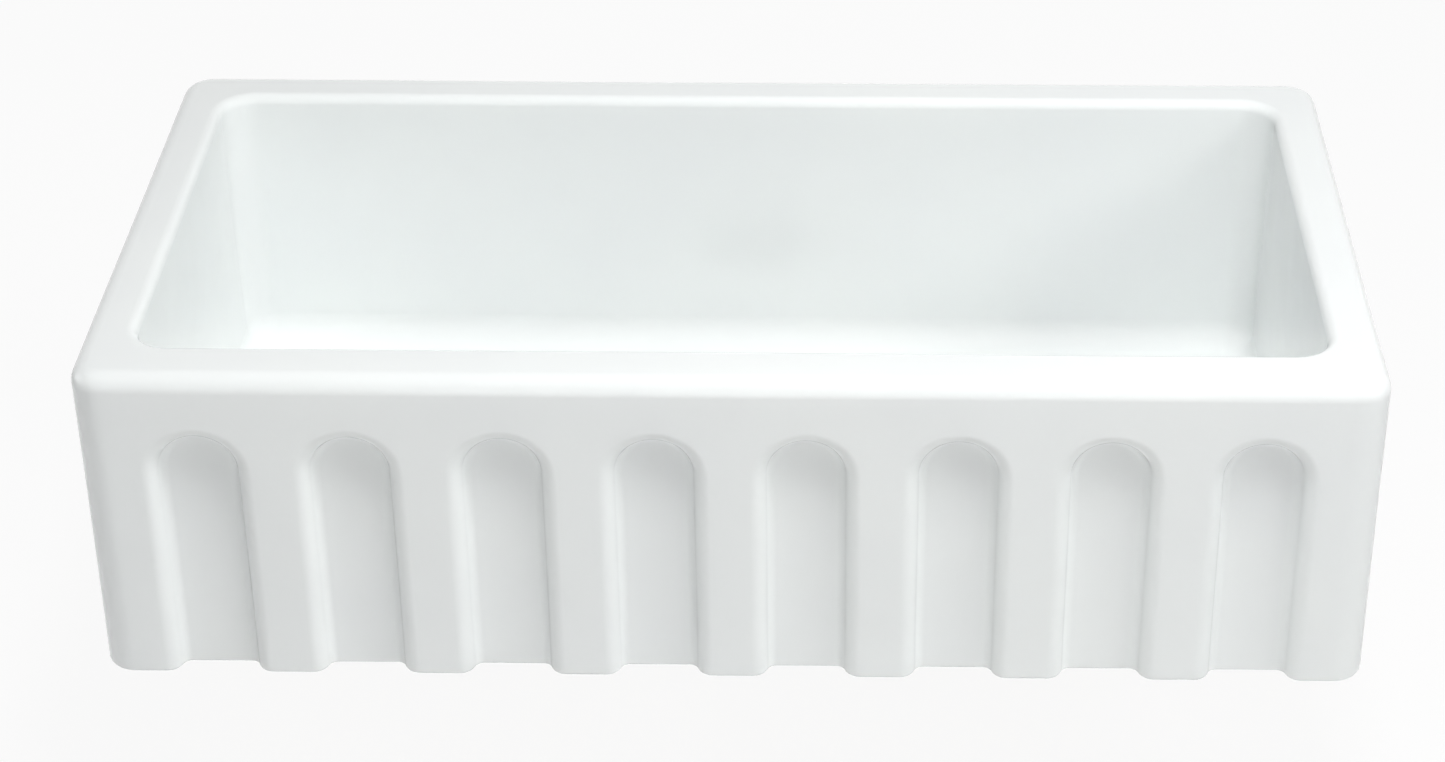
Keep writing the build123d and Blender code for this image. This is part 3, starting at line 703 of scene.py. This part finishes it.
def basket_sheet():
    """The basket's outside, before it gets its thickness: flat rings and cells with round holes
    in the bottom, cells with upright slots in the wall, which follows BASKET_LINE, and the rim."""
    skin = Skin()
    wall = BASKET_LINE[BASKET_LINE[:, 1] > BASKET_BOTTOM + 0.1]

    def flat(points):
        bearing, radius = points[..., 0], points[..., 1]
        return np.stack([radius * np.cos(bearing), radius * np.sin(bearing),
                         np.full(radius.shape, BASKET_BOTTOM)], axis=-1)

    def upright(points):
        bearing, height = points[..., 0], points[..., 1]
        radius = np.interp(height, wall[:, 1], wall[:, 0])
        return np.stack([radius * np.cos(bearing), radius * np.sin(bearing), height], axis=-1)

    for middle, count, low, high in HOLE_RINGS:
        def hole(side, rise, middle=middle):
            turn = np.arctan2(rise, side)
            return np.stack([HOLE * np.cos(turn) / middle, middle + HOLE * np.sin(turn)], axis=-1)
        for rings in pierced(count, low, high, 8, hole):
            skin.grid(flat(rings), closed=True)
    for middle, low, high in SLOT_ROWS:
        radius = np.interp(middle, wall[:, 1], wall[:, 0])

        def slot(side, rise, middle=middle, radius=radius):
            end = np.abs(rise) > 0.999
            turn = np.arcsin(np.clip(side, -1, 1))
            x = SLOT_HALF * np.where(end, np.sin(turn), side)
            z = middle + np.sign(rise) * (SLOT_LONG + SLOT_HALF * np.cos(turn) * end)
            z = np.where(end, z, middle + SLOT_LONG * rise)
            return np.stack([x / radius, z], axis=-1)
        for rings in pierced(SLOTS, low, high, 12, slot):
            skin.grid(upright(rings), closed=True)
    bottom = BASKET_LINE[BASKET_LINE[:, 1] < SLOTS_LOW]
    low_radius, high_radius = np.interp([SLOTS_LOW, SLOTS_HIGH], wall[:, 1], wall[:, 0])
    floor_in = np.array([[BASKET_BORE, BASKET_BOTTOM], [HOLES_IN, BASKET_BOTTOM]])
    foot = np.concatenate([[[HOLES_OUT, BASKET_BOTTOM]], bottom[bottom[:, 0] > HOLES_OUT + 0.1],
                           [[low_radius, SLOTS_LOW]]])
    head = np.concatenate([[[high_radius, SLOTS_HIGH]],
                           BASKET_LINE[BASKET_LINE[:, 1] > SLOTS_HIGH + 0.01]])
    for line in (floor_in, foot, head):
        skin.grid(revolved(line, ROUND), closed=True)
    return skin


perforated = basket_sheet().build("perforated_basket", [stainless], "basket", "basket_cup",
                                  "stainless")
gauge = perforated.modifiers.new("sheet", "SOLIDIFY")
gauge.thickness, gauge.offset = SHEET * MM, -1.0
perforated.modifiers.new("even_normals", "WEIGHTED_NORMAL")

# the rolled rim is a full round
bead_turn = arc(0, 330, 11)
bead = np.stack([BEAD_PLACE + BEAD * np.cos(bead_turn), BEAD_HEIGHT + BEAD * np.sin(bead_turn)],
                axis=-1)
turned("rolled_rim", stainless, "basket", None, "stainless", bead, 192)


# ---------------------------------------------------------------- floor, lamps and world

def pale_stage(name, share):
    """A pale floor: a share of plain white to the camera and the mirror, so that the background
    is white, and the rest a matt white that keeps the shadow."""
    material, tree, shader = new_material(name, **{"Base Color": linear("#E6E6E6"),
                                                   "Roughness": 0.9})
    part_seen = add(tree, "ShaderNodeMath", operation="MULTIPLY",
                    links={0: seen_rays(tree)}, values={1: share})
    white = add(tree, "ShaderNodeEmission", values={"Color": (1, 1, 1, 1), "Strength": 1.0})
    mixed = add(tree, "ShaderNodeMixShader",
                links={0: part_seen.outputs["Value"], 1: shader.outputs["BSDF"],
                       2: white.outputs["Emission"]})
    output = next(n for n in tree.nodes if n.type == "OUTPUT_MATERIAL")
    tree.links.new(mixed.outputs["Shader"], output.inputs["Surface"])
    return material


FLOOR_REACH = 8.0
floor_mesh = bpy.data.meshes.new("floor")
corners = [(x * FLOOR_REACH, y * FLOOR_REACH, FLOOR_HEIGHT)
           for x, y in ((-1, -1), (1, -1), (1, 1), (-1, 1))]
floor_mesh.from_pydata(corners, [], [(0, 1, 2, 3)])
floor_mesh.materials.append(pale_stage("studio_floor", 0.92))
floor = bpy.data.objects.new("floor", floor_mesh)
bpy.context.scene.collection.objects.link(floor)


# what the lamps are aimed at, in metres
AIM = (0.0, 0.0, 0.15)


def soft_box(name, place, size, power, mirrored):
    """A square soft box at place, in metres, aimed at the sink's middle. One that isn't mirrored
    lights the glaze but leaves no hot spot in its gloss."""
    lamp = bpy.data.lights.new(name, "AREA")
    lamp.size = size
    lamp.energy = power
    holder = bpy.data.objects.new(name, lamp)
    away = np.array(place) - np.array(AIM)
    tilt = math.atan2(math.hypot(away[0], away[1]), away[2])
    holder.location = place
    holder.rotation_euler = (tilt, 0.0, math.atan2(away[1], away[0]) + math.pi / 2)
    holder.visible_glossy = mirrored
    bpy.context.scene.collection.objects.link(holder)


# the high and the near box hang just in front of the apron, so that the flutes' heads fall into
# soft shade, and the right one shades their right flanks; the others fill, and the low one
# behind lights the back without reaching over the rim
LAMPS = (
    ("high_box", (0.3, -0.7, 2.8), 0.5, 41.0, False),
    ("near_box", (0.4, -0.6, 1.5), 0.4, 4.0, False),
    ("right_box", (2.0, -0.9, 1.5), 0.7, 15.0, False),
    ("front_wall_box", (0.0, -6.0, 3.0), 4.0, 76.0, False),
    ("low_front_box", (0.0, -2.5, 0.0), 1.2, 4.4, True),
    ("left_wall_box", (-3.5, 0.0, 1.0), 2.0, 20.0, True),
    ("back_wall_box", (0.0, 4.0, 0.3), 0.9, 60.0, False),
)
for lamp in LAMPS:
    soft_box(*lamp)

world = bpy.data.worlds.new("studio")
bpy.context.scene.world = world
world.use_nodes = True
sky = world.node_tree
sky.nodes.clear()
seen = seen_rays(sky)
# the light that comes from all round, and the brightness overhead that metal and glaze mirror
AMBIENT, CEILING = 0.08, 0.5
dim = add(sky, "ShaderNodeBackground", values={"Color": (1, 1, 1, 1), "Strength": AMBIENT})
way = add(sky, "ShaderNodeSeparateXYZ",
          links={"Vector": add(sky, "ShaderNodeTexCoord").outputs["Generated"]})
ceiling = add(sky, "ShaderNodeMapRange", links={"Value": way.outputs["Z"]},
              values={"From Min": 0.2, "From Max": 0.6, "To Min": 1.0, "To Max": CEILING})
bright = add(sky, "ShaderNodeBackground", values={"Color": (1, 1, 1, 1)},
             links={"Strength": ceiling.outputs["Result"]})
both = add(sky, "ShaderNodeMixShader",
           links={0: seen, 1: dim.outputs["Background"], 2: bright.outputs["Background"]})
add(sky, "ShaderNodeOutputWorld", links={"Surface": both.outputs["Shader"]})
